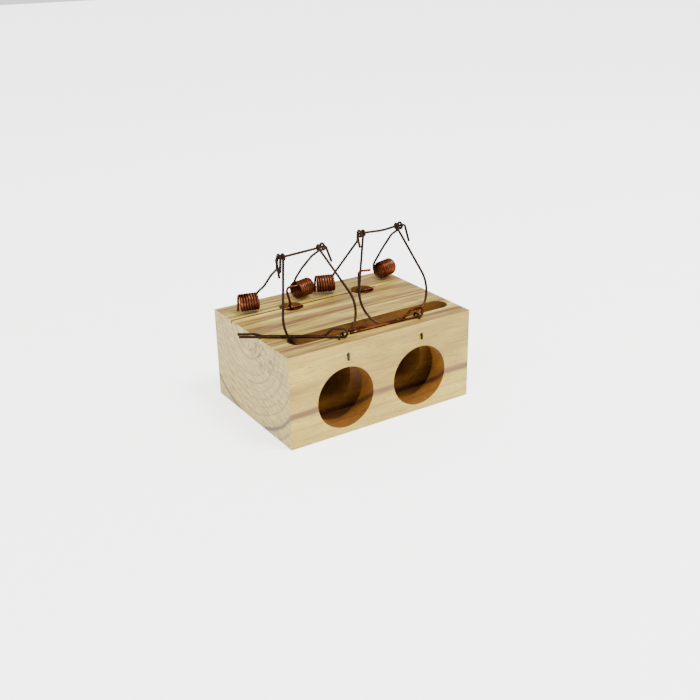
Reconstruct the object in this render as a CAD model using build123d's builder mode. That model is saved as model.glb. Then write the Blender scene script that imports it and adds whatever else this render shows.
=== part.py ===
# Two-hole choker mouse trap: a pine block with two blind tunnels, and over each tunnel a wire
# noose that two torsion springs pull up through a cross slot.
#
# Frame: millimetres, origin at the centre of the block's base, +Z up, +X along the block,
# -Y towards the side with the tunnel mouths.
from build123d import *
import math
import os

# ---- driving dimensions -------------------------------------------------------------------
LENGTH = 100.0
DEPTH = 72.0
HEIGHT = 45.0

TUNNEL_R = 15.0
TUNNEL_X = 20.7
TUNNEL_Z = 18.3
TUNNEL_DEPTH = 62.0

SLOT_LEFT = -41.5
SLOT_RIGHT = 46.8
SLOT_WIDTH = 10.0
SLOT_Y = -21.25
SLOT_FLOOR = 1.5

POCKET_R = 6.0
POCKET_OFFSET = 3.3
ROD_Y = 17.8
ROD_R = 0.65
ROD_Z = HEIGHT - 0.7
ROD_LEFT = -36.0
ROD_RIGHT = 32.0
GROOVE_WIDTH = 1.4
GROOVE_DEPTH = 1.4

WIRE_R = 0.6
STAPLE_WIRE_R = 0.5
HOLE_PLAY = 0.03

COIL_R = 3.75
COIL_PITCH = 1.28
COIL_Z = 50.2
COIL_LEG = 12.0

FRONT = -DEPTH / 2

# Each spring: outer end of the coil's axis, yaw of the axis towards the inner end, turns and
# hand of winding. Every coil starts at its straight leg behind the axis and winds upwards.
SPRINGS = {
    "left_outer": {"end": (-42.0, 24.0), "yaw": -14.3, "turns": 7 + 54 / 360, "lefthand": False},
    "left_inner": {"end": (-2.4, 26.0), "yaw": 195.6, "turns": 7 + 47 / 360, "lefthand": True},
    "right_inner": {"end": (2.0, 25.9), "yaw": -20.1, "turns": 7 + 47 / 360, "lefthand": False},
    "right_outer": {"end": (48.2, 27.4), "yaw": 196.3, "turns": 7.0, "lefthand": True},
}

# Each crossbar: its bends at both ends, the place of its axis, how much it climbs to the right,
# the arm eyes and noose legs along it, and the drop of its two bent-down ends.
BARS = {
    "left": {
        "bends": (-38.4, -12.5), "y": -7.8, "z": 80.7, "slope": 0.045, "sag": 0.0,
        "eyes": (-36.8, -13.95), "legs": (-34.7, -16.3),
        "tails": ((-38.4, -10.3, 71.6), (-10.7, -9.9, 74.0)),
    },
    "right": {
        "bends": (6.8, 34.2), "y": -4.6, "z": 82.6, "slope": 0.0, "sag": 0.5,
        "eyes": (8.2, 31.6), "legs": (10.3, 29.3),
        "tails": ((6.9, -6.8, 76.5), (34.7, -7.5, 74.8)),
    },
}

# Each noose: lean of its plane, drop from crossbar to lowest point, slant of both legs from the
# crossbar's direction, and the radii of the two lower corners.
NOOSES = {
    "left": {"lean": 15.9, "drop": 45.5, "slants": (101.5, 61.5), "radii": (15.8, 15.8)},
    "right": {"lean": 20.2, "drop": 45.5, "slants": (108.6, 68.7), "radii": (16.0, 16.0)},
}
RING_R = WIRE_R + 0.65

# Each locking pin: outer end of its standing eye, heading, length, and how far along it its
# staple's inner leg stands.
PINS = {
    "left": {"end": (-15.9, -31.4), "heading": 145.3, "length": 50.0, "leg": 2.6},
    "right": {"end": (27.6, -29.0), "heading": 178.5, "length": 41.5, "leg": 4.6},
}
PIN_Z = HEIGHT + WIRE_R + 0.02
EYE_HEIGHT = 3.7
EYE_LENGTH = 7.2
NECK_LENGTH = 11.0
LEG_ASIDE = 0.65

# Each staple: heading from its inner leg to its outer leg, span, where the slanted inner leg
# comes out of the front face, and how far it is bent down there.
STAPLES = {
    "left": {"heading": 207.5, "span": 3.4, "exit": (-19.3, 38.9), "clinch": 2.4},
    "right": {"heading": 278.0, "span": 3.4, "exit": (21.4, 38.9), "clinch": 2.0},
}
CROWN = 2.1
STAPLE_LEG = 8.0

# Each trigger: place along the rod, then the catch's bends above the rod as (x, z) steps.
TRIGGERS = {
    "left": {"x": -17.6, "catch": ((-2.0, 9.1), (-1.0, 10.7), (4.0, 10.7))},
    "right": {"x": 22.2, "catch": ((-0.2, 9.7), (0.8, 10.7), (7.0, 10.1))},
}
TRIGGER_RING = 1.34
HOOK_DROP = 23.0
HOOK_REACH = 3.4

OUT = "parts"
os.makedirs(OUT, exist_ok=True)


# ---- helpers ------------------------------------------------------------------------------
def save(piece, label):
    """Label a finished piece and write it to its own file."""
    piece.part.label = label
    export_step(piece.part, OUT + "/" + label + ".step")


def unit(heading):
    """Horizontal direction of a heading in degrees, counted from +X towards +Y."""
    angle = math.radians(heading)
    return Vector(math.cos(angle), math.sin(angle), 0)


def coil_plane(spring):
    """Plane at the coil's outer end: Z along the coil, X towards the back of the block."""
    axis = unit(spring["yaw"])
    return Plane(
        origin=(spring["end"][0], spring["end"][1], COIL_Z),
        x_dir=axis.cross(Vector(0, 0, 1)) * (1 if spring["lefthand"] else -1),
        z_dir=axis,
    )


def coil_end(spring):
    """Point and direction of the wire where the coil hands over to the arm."""
    plane = coil_plane(spring)
    angle = 2 * math.pi * spring["turns"]
    hand = -1 if spring["lefthand"] else 1
    rise = COIL_PITCH / (2 * math.pi)
    spot = (COIL_R * math.cos(angle), hand * COIL_R * math.sin(angle), COIL_PITCH * spring["turns"])
    ahead = (-COIL_R * math.sin(angle), hand * COIL_R * math.cos(angle), rise)
    start = plane.from_local_coords(Vector(*spot))
    direction = plane.from_local_coords(Vector(*ahead)) - plane.origin
    return start, direction.normalized()


def bar_z(bar, x):
    """Height of a crossbar's axis at x."""
    middle = (bar["bends"][0] + bar["bends"][1]) / 2
    return bar["z"] + (x - middle) * bar["slope"]


def bend_wire(points, radius, radii):
    """Sweep a round wire along straight runs joined by arcs, in the part being built."""
    with BuildLine() as path:
        FilletPolyline(*points, radius=radii)
    line = path.line
    with BuildSketch(Plane(origin=line @ 0, z_dir=line % 0)) as section:
        Circle(radius)
    sweep(sections=section.sketch, path=line)


# ---- block --------------------------------------------------------------------------------
def leg_plane(spring):
    """Plane across a coil's straight leg at its top, looking down along the leg."""
    plane = coil_plane(spring)
    hand = -1 if spring["lefthand"] else 1
    down = Vector(0, -hand * COIL_R, -COIL_PITCH / (2 * math.pi))
    direction = plane.from_local_coords(down) - plane.origin
    return Plane(origin=plane.from_local_coords(Vector(COIL_R, 0, 0)), z_dir=direction)


def staple_legs(side):
    """Inner and outer leg of a staple, on the block's top."""
    pin = PINS[side]
    staple = STAPLES[side]
    inner = Vector(pin["end"][0], pin["end"][1], HEIGHT) + unit(pin["heading"]) * pin["leg"]
    inner += unit(pin["heading"] - 90) * LEG_ASIDE
    outer = inner + unit(staple["heading"]) * staple["span"]
    return inner, outer


def clinch_route(side):
    """Run of a staple's inner leg: crown, down to the wood, slanting out, then bent down."""
    inner, outer = staple_legs(side)
    staple = STAPLES[side]
    exit_x, exit_z = staple["exit"]
    proud = FRONT - STAPLE_WIRE_R
    return [
        inner + Vector(0, 0, -0.8),
        Vector(exit_x, proud, exit_z),
        Vector(exit_x, proud, exit_z - staple["clinch"]),
    ]


with BuildPart() as block:
    Box(LENGTH, DEPTH, HEIGHT, align=(Align.CENTER, Align.CENTER, Align.MIN))
    # tunnels, bored flat-bottomed from the front face
    with BuildSketch(Plane(origin=(0, FRONT, TUNNEL_Z), x_dir=(1, 0, 0), z_dir=(0, 1, 0))):
        with Locations((-TUNNEL_X, 0), (TUNNEL_X, 0)):
            Circle(TUNNEL_R)
    extrude(amount=TUNNEL_DEPTH, mode=Mode.SUBTRACT)
    # cross slot for the nooses
    with BuildSketch(Plane.XY.offset(HEIGHT)):
        with Locations(((SLOT_LEFT + SLOT_RIGHT) / 2, SLOT_Y)):
            SlotOverall(SLOT_RIGHT - SLOT_LEFT, SLOT_WIDTH)
    extrude(amount=-(HEIGHT - SLOT_FLOOR), mode=Mode.SUBTRACT)
    # round trigger pockets, drilled down into the tunnels
    with BuildSketch(Plane.XY.offset(HEIGHT)):
        with Locations((-TUNNEL_X + POCKET_OFFSET, ROD_Y), (TUNNEL_X + POCKET_OFFSET, ROD_Y)):
            Circle(POCKET_R)
    extrude(amount=-(HEIGHT - TUNNEL_Z), mode=Mode.SUBTRACT)
    # saw kerf that holds the trigger rod, open at the left end
    with BuildSketch(Plane.XY.offset(HEIGHT)):
        with Locations(((-LENGTH / 2 + ROD_RIGHT) / 2, ROD_Y)):
            Rectangle(ROD_RIGHT + LENGTH / 2, GROOVE_WIDTH)
    extrude(amount=-GROOVE_DEPTH, mode=Mode.SUBTRACT)
    # holes for the four spring legs
    for spring in SPRINGS.values():
        with BuildSketch(leg_plane(spring)):
            Circle(WIRE_R + HOLE_PLAY)
        extrude(amount=COIL_Z - HEIGHT + COIL_LEG, mode=Mode.SUBTRACT)
    # staple holes: one straight down, one slanting out through the front face
    for side in STAPLES:
        inner, outer = staple_legs(side)
        with BuildSketch(Plane(origin=outer)):
            Circle(STAPLE_WIRE_R + HOLE_PLAY)
        extrude(amount=-STAPLE_LEG, mode=Mode.SUBTRACT)
        with BuildSketch(Plane(origin=inner)):
            Circle(STAPLE_WIRE_R + 0.25)
        extrude(amount=-1.6, mode=Mode.SUBTRACT)
        slant = clinch_route(side)
        run = slant[1] - slant[0]
        with BuildSketch(Plane(origin=slant[0], z_dir=run)):
            Circle(STAPLE_WIRE_R + 0.25)
        extrude(amount=run.length + 1.5, mode=Mode.SUBTRACT)
save(block, "wood_block")

# ---- trigger rod --------------------------------------------------------------------------
with BuildPart() as pivot_rod:
    with BuildSketch(Plane(origin=(ROD_LEFT, ROD_Y, ROD_Z), z_dir=(1, 0, 0))):
        Circle(ROD_R)
    extrude(amount=ROD_RIGHT - 0.2 - ROD_LEFT)
save(pivot_rod, "pivot_rod")

# ---- spring coils -------------------------------------------------------------------------
for name, spring in SPRINGS.items():
    plane = coil_plane(spring)
    length = COIL_PITCH * spring["turns"]
    turns = Helix(COIL_PITCH, length, COIL_R, lefthand=spring["lefthand"]).moved(plane.location)
    with BuildPart() as coil:
        with BuildSketch(Plane(origin=turns @ 0, z_dir=turns % 0)):
            Circle(WIRE_R)
        sweep(path=turns, is_frenet=True)
        # straight leg, driven into the wood
        with BuildSketch(leg_plane(spring)):
            Circle(WIRE_R)
        extrude(amount=COIL_Z - HEIGHT + COIL_LEG - 0.5)
    save(coil, name + "_coil")


# ---- spring arms --------------------------------------------------------------------------
# Each arm: its crossbar, which eye of it, the bends on the way up, the bend below the eye, the
# drop of the eye's open end, and the bend radii.
ARMS = {
    "left_outer": {
        "side": "left", "eye": 0, "via": ((-35.0, 11.3, 61.1), (-36.4, 0.6, 70.1)),
        "neck": (-36.8, -5.2, 74.1), "open": (1.0, 5.2, -7.0),
        "radii": (3.0, 20.0, 12.0, 3.0, 1.4, 1.4, 1.2),
    },
    "left_inner": {
        "side": "left", "eye": 1,
        "via": ((-12.0, 21.7, 57.6), (-13.2, 13.4, 65.0), (-14.2, 2.0, 74.3)),
        "neck": (-14.6, -4.5, 78.3), "open": (0.0, 1.4, -1.4),
        "radii": (1.5, 6.0, 20.0, 10.0, 1.2, 1.4, 1.4, 1.4),
    },
    "right_inner": {
        "side": "right", "eye": 0, "via": ((9.9, 12.5, 64.7), (8.9, 2.2, 74.3)),
        "neck": (8.4, -2.3, 78.4), "open": (0.0, 1.4, -1.4),
        "radii": (3.0, 20.0, 12.0, 1.4, 1.4, 1.4, 1.4),
    },
    "right_outer": {
        "side": "right", "eye": 1,
        "via": ((36.5, 25.0, 54.9), (34.3, 14.5, 65.7), (32.5, 3.95, 75.95)),
        "neck": (31.6, -2.0, 79.6), "open": (0.0, 1.4, -1.4),
        "radii": (1.4, 4.0, 20.0, 14.0, 0.9, 1.4, 1.4, 1.4),
    },
}
EYE_HALF = 1.4


def arm_route(name, arm):
    """Corners of an arm: out of its coil, up to the neck, then the eye up behind the crossbar,
    over it, down in front of it and back under it."""
    start, ahead = coil_end(SPRINGS[name])
    bar = BARS[arm["side"]]
    x = bar["eyes"][arm["eye"]]
    y = bar["y"]
    z = bar_z(bar, x)
    lean, front, low = arm["open"]
    route = [start, start + ahead * 2.4]
    route += [Vector(*spot) for spot in arm["via"]]
    route.append(Vector(*arm["neck"]))
    route.append(Vector(x, y + EYE_HALF, z + EYE_HALF))
    route.append(Vector(x, y - EYE_HALF, z + EYE_HALF))
    route.append(Vector(x, y - EYE_HALF + lean, z + low))
    route.append(Vector(x, y + 0.6 + lean * 0.5, z + low))
    return route


for name, arm in ARMS.items():
    with BuildPart() as spring_arm:
        bend_wire(arm_route(name, arm), WIRE_R, arm["radii"])
    save(spring_arm, name + "_arm")

# ---- crossbars ----------------------------------------------------------------------------
for side, bar in BARS.items():
    left, right = bar["bends"]
    ends = [Vector(x, bar["y"], bar_z(bar, x)) for x in (left, right)]
    # a crossbar with sag dips between its noose legs
    low = bar_z(bar, (left + right) / 2) - bar["sag"]
    dips = []
    if bar["sag"] > 0:
        dips = [
            Vector(bar["legs"][0] + 1.6, bar["y"], ends[0].Z),
            Vector(bar["legs"][0] + 9.2, bar["y"], low),
            Vector(bar["legs"][1] - 7.0, bar["y"], low),
            Vector(bar["legs"][1] - 1.6, bar["y"], ends[1].Z),
        ]
    tails = [Vector(*spot) for spot in bar["tails"]]
    bends = [1.0] + [8.0] * len(dips) + [1.0]
    with BuildPart() as crossbar:
        bend_wire([tails[0], ends[0]] + dips + [ends[1], tails[1]], WIRE_R, bends)
    save(crossbar, side + "_crossbar")

# ---- nooses -------------------------------------------------------------------------------
for side, noose in NOOSES.items():
    bar = BARS[side]
    lean = math.radians(noose["lean"])
    down = Vector(0, -math.sin(lean), -math.cos(lean))

    tops = []
    corners = []
    for x, slant in zip(bar["legs"], noose["slants"]):
        middle = Vector(0, bar["y"], bar["z"])
        spread = 1 / math.tan(math.radians(slant))
        reach = (bar["z"] - bar_z(bar, x)) / math.cos(lean) + RING_R
        tops.append(middle + down * reach + Vector(x + RING_R * spread, 0, 0))
        drop = noose["drop"]
        corners.append(middle + down * drop + Vector(x + drop * spread, 0, 0))
    with BuildPart() as loop:
        bend_wire([tops[0], corners[0], corners[1], tops[1]], WIRE_R, noose["radii"])
        # closed rings on the crossbar
        for x in bar["legs"]:
            ring_axis = Vector(1, 0, bar["slope"])
            with Locations(Plane(origin=(x, bar["y"], bar_z(bar, x)), z_dir=ring_axis)):
                Torus(RING_R, WIRE_R)
    save(loop, side + "_noose")

# ---- locking pins -------------------------------------------------------------------------
for side, pin in PINS.items():
    pin_plane = Plane(
        origin=(pin["end"][0], pin["end"][1], PIN_Z), x_dir=unit(pin["heading"]), z_dir=(0, 0, 1)
    )
    strand = WIRE_R + 0.02
    length = pin["length"]
    # along, aside and up: the eye stands on edge at one end, and at the other end one strand
    # climbs onto the other
    outline = [
        (length, 0.45, 1.3),
        (length - 4.5, 0.45, 1.3),
        (length - 7.5, -strand, 1.0),
        (length - 11.0, -strand, 0),
        (NECK_LENGTH, -strand, 0),
        (EYE_LENGTH, 0.1, EYE_HEIGHT),
        (WIRE_R, 0.1, EYE_HEIGHT),
        (WIRE_R, strand, 0),
        (length - 0.6, strand, 0),
    ]
    corners = [pin_plane.from_local_coords(Vector(*spot)) for spot in outline]
    with BuildPart() as locking_pin:
        bend_wire(corners, WIRE_R, (5.0, 5.0, 8.0, 4.0, 2.6, 1.75, 1.75))
    save(locking_pin, side + "_locking_pin")

# ---- staples ------------------------------------------------------------------------------
for side, staple in STAPLES.items():
    inner, outer = staple_legs(side)
    crown = Vector(0, 0, CROWN)
    points = [outer + Vector(0, 0, -STAPLE_LEG + 0.5), outer + crown, inner + crown]
    points += clinch_route(side)
    with BuildPart() as clip:
        bend_wire(points, STAPLE_WIRE_R, (0.75, 0.75, 0.7, 0.6))
    save(clip, side + "_staple")

# ---- triggers -----------------------------------------------------------------------------
for side, trigger in TRIGGERS.items():
    x = trigger["x"]
    pivot = Vector(x, ROD_Y, ROD_Z)
    ring_bottom = pivot + Vector(0, 0, -TRIGGER_RING)
    hook = [
        ring_bottom,
        ring_bottom + Vector(0, 0, -HOOK_DROP + HOOK_REACH),
        ring_bottom + Vector(0, 0, -HOOK_DROP),
        ring_bottom + Vector(0, -HOOK_REACH, -HOOK_DROP),
        ring_bottom + Vector(0, -HOOK_REACH, -HOOK_DROP + HOOK_REACH),
    ]
    catch = [pivot + Vector(0, 0, TRIGGER_RING)]
    catch += [pivot + Vector(step[0], 0, step[1]) for step in trigger["catch"]]
    with BuildPart() as lever:
        with Locations(Plane(origin=pivot, z_dir=(1, 0, 0))):
            Torus(TRIGGER_RING, WIRE_R)
        bend_wire([hook[0], hook[2], hook[3], hook[4]], WIRE_R, (1.6, 1.6))
        bend_wire(catch, WIRE_R, (0.8, 0.8))
    save(lever, side + "_trigger")
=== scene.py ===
# Look of the two-hole choker mouse trap: pine block, coppery torsion springs and dark wire.
# Metres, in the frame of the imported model: origin at the centre of the block's base, +Z up.
import bpy
import math
from mathutils import Matrix, Vector


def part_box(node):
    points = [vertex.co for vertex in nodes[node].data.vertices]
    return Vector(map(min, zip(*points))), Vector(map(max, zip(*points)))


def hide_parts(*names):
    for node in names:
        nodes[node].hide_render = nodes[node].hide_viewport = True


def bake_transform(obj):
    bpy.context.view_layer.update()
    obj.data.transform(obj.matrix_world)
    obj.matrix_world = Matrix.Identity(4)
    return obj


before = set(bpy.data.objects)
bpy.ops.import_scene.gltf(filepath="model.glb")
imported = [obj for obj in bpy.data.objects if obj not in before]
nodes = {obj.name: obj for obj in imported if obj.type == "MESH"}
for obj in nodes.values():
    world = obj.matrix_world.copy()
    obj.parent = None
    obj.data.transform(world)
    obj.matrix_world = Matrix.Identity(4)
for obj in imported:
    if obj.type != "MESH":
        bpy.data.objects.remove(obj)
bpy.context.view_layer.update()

MM = 0.001

# ---- camera -------------------------------------------------------------------------------
CAMERA_AT = Vector((-0.23289, -0.37121, 0.21451))
CAMERA_RIGHT = Vector((0.8384, -0.5449, -0.0158))
CAMERA_UP = Vector((0.2297, 0.3270, 0.9167))
LENS = 50.06

camera_data = bpy.data.cameras.new("camera")
camera_data.sensor_width = 36.0
camera_data.lens = LENS
camera = bpy.data.objects.new("camera", camera_data)
bpy.context.scene.collection.objects.link(camera)
back = CAMERA_RIGHT.cross(CAMERA_UP).normalized()
right = CAMERA_UP.cross(back).normalized()
up = back.cross(right)
camera.matrix_world = Matrix.Translation(CAMERA_AT) @ Matrix((right, up, back)).transposed().to_4x4()
bpy.context.scene.camera = camera


# ---- node helpers -------------------------------------------------------------------------
class Shader:
    """A material under construction, with one-line helpers for its nodes."""

    def __init__(self, name):
        self.material = bpy.data.materials.new(name)
        self.material.use_nodes = True
        self.tree = self.material.node_tree
        self.bsdf = self.tree.nodes["Principled BSDF"]
        self.coords = self.tree.nodes.new("ShaderNodeTexCoord")

    def put(self, value, socket):
        """Link or set one input."""
        if isinstance(value, bpy.types.NodeSocket):
            self.tree.links.new(value, socket)
        elif value is not None:
            socket.default_value = value

    def math(self, operation, a, b=None, c=None, clamp=False):
        node = self.tree.nodes.new("ShaderNodeMath")
        node.operation = operation
        node.use_clamp = clamp
        for value, socket in zip((a, b, c), node.inputs):
            self.put(value, socket)
        return node.outputs[0]

    def split(self, vector):
        node = self.tree.nodes.new("ShaderNodeSeparateXYZ")
        self.put(vector, node.inputs[0])
        return node.outputs

    def join(self, x, y, z):
        node = self.tree.nodes.new("ShaderNodeCombineXYZ")
        for value, socket in zip((x, y, z), node.inputs):
            self.put(value, socket)
        return node.outputs[0]

    def place(self, scale, vector=None, shift=(0, 0, 0)):
        """Object coordinates, scaled and shifted."""
        node = self.tree.nodes.new("ShaderNodeMapping")
        self.put(vector or self.coords.outputs["Object"], node.inputs["Vector"])
        node.inputs["Scale"].default_value = scale
        node.inputs["Location"].default_value = shift
        return node.outputs[0]

    def noise(self, vector, detail, rough):
        node = self.tree.nodes.new("ShaderNodeTexNoise")
        self.put(vector, node.inputs["Vector"])
        node.inputs["Scale"].default_value = 1.0
        node.inputs["Detail"].default_value = detail
        node.inputs["Roughness"].default_value = rough
        return node.outputs["Fac"]

    def ramp(self, value, stops):
        node = self.tree.nodes.new("ShaderNodeValToRGB")
        self.put(value, node.inputs[0])
        elements = node.color_ramp.elements
        while len(elements) < len(stops):
            elements.new(0.5)
        for element, (position, shade) in zip(elements, stops):
            element.position = position
            element.color = shade if len(shade) == 4 else (*shade, 1)
        return node.outputs[0]

    def step(self, value, low, high):
        """0 below low, 1 above high, smooth between."""
        node = self.tree.nodes.new("ShaderNodeMapRange")
        node.interpolation_type = "SMOOTHSTEP"
        self.put(value, node.inputs["Value"])
        node.inputs["From Min"].default_value = low
        node.inputs["From Max"].default_value = high
        return node.outputs["Result"]

    def mix(self, amount, a, b, blend="MIX"):
        node = self.tree.nodes.new("ShaderNodeMix")
        node.data_type = "RGBA"
        node.blend_type = blend
        self.put(amount, node.inputs[0])
        for value, socket in ((a, node.inputs[6]), (b, node.inputs[7])):
            if isinstance(value, tuple) and len(value) == 3:
                value = (*value, 1)
            self.put(value, socket)
        return node.outputs[2]

    def bump(self, height, distance, strength=1.0, under=None):
        node = self.tree.nodes.new("ShaderNodeBump")
        node.inputs["Strength"].default_value = strength
        node.inputs["Distance"].default_value = distance
        self.put(height, node.inputs["Height"])
        self.put(under, node.inputs["Normal"])
        return node.outputs[0]

    def finish(self, color, roughness, normal=None, metallic=0.0):
        self.put(color, self.bsdf.inputs["Base Color"])
        self.put(roughness, self.bsdf.inputs["Roughness"])
        self.put(normal, self.bsdf.inputs["Normal"])
        self.bsdf.inputs["Metallic"].default_value = metallic
        return self.material


def grey(value):
    return (value, value, value)


# ---- pine ---------------------------------------------------------------------------------
# The rings share one pith line along X, a little above the block's top, so the growth lines
# of the end, the front face and the top meet at the edges as in sawn timber.
PITH_Y = 2.0 * MM
PITH_Z = 47.0 * MM
RING = 3.9 * MM
STRONG_RING = 49.0 * MM
WAVER = 5.0 * MM

# how far under a face the wood counts as the inside of a hole: none of it, then all of it
SIDE_NEAR = 0.05 * MM
SIDE_DEEP = 0.20 * MM
FLAT_NEAR = 0.03 * MM
FLAT_DEEP = 0.15 * MM

HALF_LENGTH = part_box("wood_block")[1][0]
HALF_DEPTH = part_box("wood_block")[1][1]
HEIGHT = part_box("wood_block")[1][2]

WARM_PINE = (0.27, 0.18, 0.020)
PALE_PINE = (0.45, 0.325, 0.045)
FLECK = (0.16, 0.09, 0.018)
LATE_WOOD = (0.20, 0.10, 0.014)
STRONG_LINE = (0.12, 0.058, 0.010)
RESIN = (0.19, 0.098, 0.014)
BURNT = (0.09, 0.035, 0.01)
CREAM = (0.80, 0.61, 0.19)
END_DARK = (0.20, 0.14, 0.033)
END_PALE = (0.48, 0.36, 0.09)
END_LINE = (0.08, 0.04, 0.012)
TORN = (0.07, 0.04, 0.012)
# painted shade for the walls of the holes and the slot
HOLE_SHADE_TINT = (0.52, 0.29, 0.12)


def pith_distance(s, y, z):
    """Distance from the pith line, with a slow waver of the grain along the board."""
    waver_y = s.noise(s.place((14, 30, 30)), 3.0, 0.5)
    waver_z = s.noise(s.place((9, 24, 24), shift=(4.2, 1.7, 0.3)), 2.0, 0.5)
    away_y = s.math("MULTIPLY", s.math("SUBTRACT", waver_y, 0.5), WAVER)
    away_z = s.math("MULTIPLY", s.math("SUBTRACT", waver_z, 0.5), WAVER)
    dy = s.math("ADD", s.math("SUBTRACT", y, PITH_Y), away_y)
    dz = s.math("ADD", s.math("SUBTRACT", z, PITH_Z), away_z)
    return s.math("SQRT", s.math("ADD", s.math("MULTIPLY", dy, dy), s.math("MULTIPLY", dz, dz)))


def ring_lines(s, radius, fibre):
    """Amount of late wood, and the one strong dark ring within it."""
    rings = s.math("DIVIDE", radius, RING)
    phase = s.math("FRACT", rings)
    # each ring: pale early wood, darkening to a thin late-wood line, then a sharp drop
    late = s.math("POWER", s.step(phase, 0.35, 0.97), 2.2)
    late = s.math("MULTIPLY", late, s.step(phase, 1.0, 0.95))
    # rings differ in strength
    ring_noise = s.tree.nodes.new("ShaderNodeTexWhiteNoise")
    ring_noise.noise_dimensions = "1D"
    s.put(s.math("FLOOR", rings), ring_noise.inputs["W"])
    strength = s.step(ring_noise.outputs["Value"], 0.1, 0.95)
    line = s.math("MULTIPLY", late, s.math("MULTIPLY_ADD", strength, 0.55, 0.05), clamp=True)
    away = s.math("ABSOLUTE", s.math("SUBTRACT", radius, STRONG_RING))
    band = s.math("MULTIPLY", s.step(away, 1.5 * MM, 0.4 * MM), s.step(fibre, 0.20, 0.5))
    halo = s.math("MULTIPLY", s.step(away, 3.2 * MM, 0.5 * MM), 0.35)
    return s.math("MAXIMUM", line, s.math("MAXIMUM", band, halo)), band


def block_faces(s, x, y, z):
    """Masks of the sawn ends, the inside of the holes, and the planed top."""
    normal_x, _, normal_z = s.split(s.coords.outputs["Normal"])
    far_x = s.math("ABSOLUTE", x)
    far_y = s.math("ABSOLUTE", y)
    facing_end = s.step(s.math("ABSOLUTE", normal_x), 0.9, 0.97)
    at_end = s.step(far_x, HALF_LENGTH - 0.4 * MM, HALF_LENGTH - 0.2 * MM)
    in_x = s.step(far_x, HALF_LENGTH - SIDE_NEAR, HALF_LENGTH - SIDE_DEEP)
    in_y = s.step(far_y, HALF_DEPTH - SIDE_NEAR, HALF_DEPTH - SIDE_DEEP)
    below_top = s.step(z, HEIGHT - FLAT_NEAR, HEIGHT - FLAT_DEEP)
    above_base = s.step(z, FLAT_NEAR, FLAT_DEEP)
    in_sides = s.math("MULTIPLY", in_x, in_y)
    inside = s.math("MULTIPLY", in_sides, s.math("MULTIPLY", below_top, above_base))
    at_top = s.step(z, HEIGHT - 0.15 * MM, HEIGHT - 0.05 * MM)
    top = s.math("MULTIPLY", s.step(normal_z, 0.9, 0.97), at_top)
    return s.math("MULTIPLY", facing_end, at_end), inside, top


def streaked(s, base, top):
    """Orange-brown resin, burnt streaks and cream patches on the planed top."""
    resin = s.noise(s.place((11, 190, 60), shift=(1.3, 0.2, 0)), 4.0, 0.65)
    fine = s.noise(s.place((24, 620, 60), shift=(0.3, 4.2, 0)), 3.0, 0.6)
    both = s.math("MULTIPLY_ADD", fine, 0.55, s.math("MULTIPLY", resin, 0.55))
    most = s.math("MULTIPLY", top, 0.9)
    base = s.mix(s.math("MULTIPLY", s.step(both, 0.52, 0.58), most), base, RESIN)
    base = s.mix(s.math("MULTIPLY", s.step(both, 0.605, 0.66), most), base, BURNT)
    pale = s.math("MULTIPLY", s.step(resin, 0.46, 0.30), s.math("MULTIPLY", top, 0.55))
    return s.mix(pale, base, CREAM)


def sawn_end(s, x, y, z, line):
    """Colour and roughness height of an end: greyer, saw-marked, with torn pores."""
    slant_y = s.math("ADD", s.math("MULTIPLY", y, 0.98), s.math("MULTIPLY", z, 0.2))
    slant_z = s.math("SUBTRACT", s.math("MULTIPLY", z, 0.98), s.math("MULTIPLY", y, 0.2))
    saw = s.noise(s.place((150, 900, 100), s.join(slant_y, slant_z, x)), 4.0, 0.6)
    fuzz = s.noise(s.place((2400, 2400, 2400)), 3.0, 0.6)
    color = s.mix(s.step(saw, 0.3, 0.75), END_DARK, END_PALE)
    color = s.mix(line, color, END_LINE)
    # torn dark pores between the pith and the front edge
    across = s.math("DIVIDE", s.math("ADD", y, 12 * MM), 20 * MM)
    middle = s.math("MULTIPLY_ADD", y, 0.25, 40 * MM)
    upward = s.math("DIVIDE", s.math("SUBTRACT", z, middle), 6.5 * MM)
    spread = s.math("ADD", s.math("MULTIPLY", across, across), s.math("MULTIPLY", upward, upward))
    pores = s.noise(s.place((500, 420, 420)), 3.0, 0.6)
    torn = s.math("MULTIPLY", s.step(spread, 1.3, 0.3), s.step(pores, 0.50, 0.60))
    color = s.mix(s.math("MULTIPLY", torn, 0.8), color, TORN)
    fuzzy = s.mix(1.0, color, grey(0.82), "MULTIPLY")
    color = s.mix(s.step(fuzz, 0.55, 0.75), color, fuzzy)
    return color, s.math("ADD", saw, s.math("MULTIPLY", fuzz, 0.8))


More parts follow.
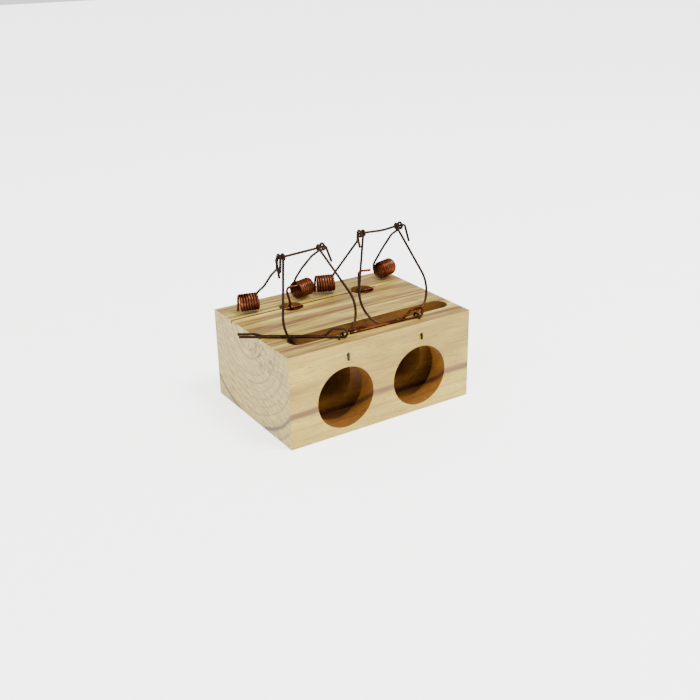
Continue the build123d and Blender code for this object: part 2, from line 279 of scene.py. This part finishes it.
def pine():
    s = Shader("pine")
    x, y, z = s.split(s.coords.outputs["Object"])
    # fibre: long thin streaks along X, coarse and fine
    fibre = s.noise(s.place((60, 1500, 1500)), 4.0, 0.6)
    fine = s.noise(s.place((180, 4200, 4200)), 2.0, 0.5)
    cloud = s.noise(s.place((22, 70, 70), shift=(0.4, 2.2, 5.1)), 3.0, 0.55)
    fleck = s.noise(s.place((420, 2300, 2300), shift=(2.0, 0.5, 0.5)), 2.0, 0.5)
    line, band = ring_lines(s, pith_distance(s, y, z), fibre)
    end, inside, top = block_faces(s, x, y, z)

    base = s.mix(s.step(cloud, 0.3, 0.7), WARM_PINE, PALE_PINE)
    streak = s.ramp(fibre, [(0.34, grey(0.66)), (0.5, grey(0.97)), (0.72, grey(1.1))])
    base = s.mix(1.0, base, streak, "MULTIPLY")
    base = s.mix(s.math("MULTIPLY", s.step(fleck, 0.60, 0.68), 0.7), base, FLECK)
    base = s.mix(line, base, LATE_WOOD)
    base = s.mix(band, base, STRONG_LINE)
    base = streaked(s, base, top)
    end_color, end_height = sawn_end(s, x, y, z, line)
    base = s.mix(end, base, end_color)
    # painted shade: the walls of the holes and the slot are darkened and warmed
    base = s.mix(inside, base, s.mix(1.0, base, HOLE_SHADE_TINT, "MULTIPLY"))

    height = s.math("ADD", s.math("MULTIPLY", fibre, 0.6), s.math("MULTIPLY", fine, 0.4))
    normal = s.bump(height, 0.10 * MM, 0.6)
    normal = s.bump(s.math("MULTIPLY", end_height, end), 0.22 * MM, 0.8, normal)
    return s.finish(base, s.math("MULTIPLY_ADD", fibre, 0.2, 0.5), normal)


# ---- wire ---------------------------------------------------------------------------------
# heights between which the wire goes from its dark film to a painted copper highlight, and the
# colour of that highlight
LOW_HIGHLIGHT_NONE = 50 * MM
LOW_HIGHLIGHT_FULL = 43 * MM
LOW_HIGHLIGHT_COLOR = (0.30, 0.12, 0.05)


def drawn_wire(name, dark, mid, bright, roughness, edge=grey(1), metallic=1.0, paint_low_highlight=False):
    """Steel wire with a thin uneven film: dark patches and scuffed bright spots; optionally a
    painted copper highlight on its lower parts.
    """
    s = Shader(name)
    cloud = s.noise(s.place((70, 70, 70)), 3.0, 0.5)
    spots = s.noise(s.place((420, 420, 420)), 2.0, 0.5)
    color = s.mix(s.step(cloud, 0.35, 0.7), dark, mid)
    color = s.mix(s.math("MULTIPLY", s.step(spots, 0.6, 0.8), 0.6), color, bright)
    if paint_low_highlight:
        # painted highlight: brightened towards copper low down, where the wire runs in the slot and
        # lies on the wood
        low = s.step(s.split(s.coords.outputs["Object"])[2], LOW_HIGHLIGHT_NONE, LOW_HIGHLIGHT_FULL)
        low_highlight = s.math("MULTIPLY", low, s.step(cloud, 0.35, 0.6))
        color = s.mix(s.math("MULTIPLY", low_highlight, 0.45), color, LOW_HIGHLIGHT_COLOR)
    rough = s.math("MULTIPLY_ADD", cloud, 0.16, roughness - 0.08)
    s.bsdf.inputs["Specular Tint"].default_value = (*edge, 1)
    return s.finish(color, rough, None, metallic)


copper = drawn_wire(
    "copper_film_wire", (0.05, 0.014, 0.006), (0.18, 0.06, 0.028), (0.42, 0.19, 0.10), 0.34,
    edge=(0.4, 0.2, 0.14),
)
# the bail and arm wire: its lower parts carry the painted copper highlight
bronze = drawn_wire(
    "dark_spring_wire", (0.008, 0.004, 0.002), (0.024, 0.011, 0.006), (0.05, 0.022, 0.012), 0.56,
    edge=(0.3, 0.2, 0.15), metallic=0.35, paint_low_highlight=True,
)
dark_bronze = drawn_wire(
    "dark_pin_wire", (0.008, 0.004, 0.002), (0.03, 0.015, 0.009), (0.08, 0.04, 0.022), 0.5,
    edge=(0.3, 0.2, 0.15), metallic=0.5,
)
dull = drawn_wire(
    "dull_steel_wire", (0.012, 0.010, 0.006), (0.05, 0.045, 0.028), (0.24, 0.22, 0.15), 0.42,
    edge=(0.2, 0.2, 0.15),
)
reddish = drawn_wire(
    "reddish_pin_wire", (0.03, 0.009, 0.004), (0.13, 0.042, 0.018), (0.42, 0.20, 0.11), 0.38,
    edge=(0.3, 0.15, 0.1),
)


WELD_GAP = 0.002 * MM
CRISP_ANGLE = math.radians(50)


def paint(obj, material):
    obj.data.materials.clear()
    obj.data.materials.append(material)


def smooth_round(obj):
    """Even shading round a wire, with its flat ends kept crisp."""
    normals = obj.data.attributes.get("custom_normal")
    if normals:
        obj.data.attributes.remove(normals)
    for face in obj.data.polygons:
        face.use_smooth = True
    weld = obj.modifiers.new("weld", "WELD")
    weld.merge_threshold = WELD_GAP
    crisp = obj.modifiers.new("crisp", "EDGE_SPLIT")
    crisp.split_angle = CRISP_ANGLE


paint(nodes["wood_block"], pine())
paint(nodes["pivot_rod"], copper)
for side in ("left", "right"):
    paint(nodes[side + "_crossbar"], bronze)
    paint(nodes[side + "_noose"], bronze)
    paint(nodes[side + "_staple"], dull)
    paint(nodes[side + "_trigger"], copper)
paint(nodes["left_locking_pin"], dark_bronze)
paint(nodes["right_locking_pin"], reddish)
for name in ("left_outer", "left_inner", "right_inner", "right_outer"):
    paint(nodes[name + "_arm"], bronze)

for name, node in nodes.items():
    if name != "wood_block":
        smooth_round(node)

# ---- spring coils -------------------------------------------------------------------------
# Smooth wound wire in place of each coil solid. Coil sizes are in millimetres.
WIRE_R = 0.6
COIL_R = 3.75
COIL_PITCH = 1.28
COIL_Z = 50.2
LEG_END = 33.6
LEG_POINTS = 6
TURN_POINTS = 28
ROUNDNESS = 5

# outer end of the axis, yaw towards the inner end, turns, hand, bail
COILS = {
    "left_outer": ((-42.0, 24.0), -14.3, 7 + 54 / 360, 1, "left_bail"),
    "left_inner": ((-2.4, 26.0), 195.6, 7 + 47 / 360, -1, "left_bail"),
    "right_inner": ((2.0, 25.9), -20.1, 7 + 47 / 360, 1, "right_bail"),
    "right_outer": ((48.2, 27.4), 196.3, 7.0, -1, "right_bail"),
}


def wound_wire(name, end, yaw, turns, hand):
    """Mesh tube along one coil and its leg."""
    axis = Vector((math.cos(math.radians(yaw)), math.sin(math.radians(yaw)), 0))
    rear = Vector((0, 0, 1)).cross(axis) * hand
    centre = Vector((end[0], end[1], COIL_Z))
    top = centre + rear * COIL_R
    lead = COIL_PITCH / (2 * math.pi) / COIL_R
    points = []
    for k in range(LEG_POINTS):
        drop = (COIL_Z - LEG_END) * (1 - k / LEG_POINTS)
        points.append(top - Vector((0, 0, drop)) - axis * lead * drop)
    count = int(turns * TURN_POINTS)
    for k in range(count + 1):
        angle = 2 * math.pi * turns * k / count
        round_part = rear * math.cos(angle) + Vector((0, 0, 1)) * math.sin(angle)
        points.append(centre + round_part * COIL_R + axis * COIL_PITCH * angle / (2 * math.pi))
    curve = bpy.data.curves.new(name, "CURVE")
    curve.dimensions = "3D"
    curve.bevel_depth = WIRE_R * MM
    curve.bevel_resolution = ROUNDNESS
    curve.use_fill_caps = True
    spline = curve.splines.new("POLY")
    spline.points.add(len(points) - 1)
    for point, place in zip(spline.points, points):
        point.co = (*(place * MM), 1)
    holder = bpy.data.objects.new(name + "_path", curve)
    mesh = bpy.data.meshes.new_from_object(holder)
    bpy.data.objects.remove(holder)
    for face in mesh.polygons:
        face.use_smooth = True
    obj = bpy.data.objects.new(name, mesh)
    bpy.context.scene.collection.objects.link(obj)
    return obj, centre, centre + axis * COIL_PITCH * turns


for name, (end, yaw, turns, hand, bail) in COILS.items():
    coil, outer, inner = wound_wire(name + "_winding", end, yaw, turns, hand)
    paint(coil, copper)
    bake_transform(coil)
    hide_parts(name + "_coil")


# ---- floor and light ----------------------------------------------------------------------
FLOOR_HALF = 3.0
FLOOR_GLOW = 2.2
SKY_LIGHT = 1.35
AIM = (0, 0, 0.03)


def floor():
    mesh = bpy.data.meshes.new("floor")
    half = FLOOR_HALF
    corners = [(-half, -half, 0), (half, -half, 0), (half, half, 0), (-half, half, 0)]
    mesh.from_pydata(corners, [], [(0, 1, 2, 3)])
    obj = bpy.data.objects.new("floor", mesh)
    bpy.context.scene.collection.objects.link(obj)
    s = Shader("floor_white")
    paint(obj, s.finish((1.0, 1.0, 1.0, 1), 0.9))
    s.bsdf.inputs["Emission Color"].default_value = (1, 1, 1, 1)
    s.bsdf.inputs["Emission Strength"].default_value = FLOOR_GLOW


def area_light(name, place, size, power, tint):
    data = bpy.data.lights.new(name, "AREA")
    data.shape = "DISK"
    data.size = size
    data.energy = power
    data.color = tint
    lamp = bpy.data.objects.new(name, data)
    bpy.context.scene.collection.objects.link(lamp)
    lamp.location = place
    aim = Vector(AIM) - Vector(place)
    lamp.rotation_euler = aim.to_track_quat("-Z", "Y").to_euler()


floor()
area_light("key", (0.35, -0.55, 1.3), 0.5, 26.0, (1.0, 0.98, 0.94))
area_light("fill", (-1.1, -0.5, 0.8), 0.9, 7.0, (0.97, 0.99, 1.0))
world = bpy.data.worlds.new("studio")
world.use_nodes = True
world.node_tree.nodes["Background"].inputs["Color"].default_value = (1, 1, 1, 1)
world.node_tree.nodes["Background"].inputs["Strength"].default_value = SKY_LIGHT
bpy.context.scene.world = world
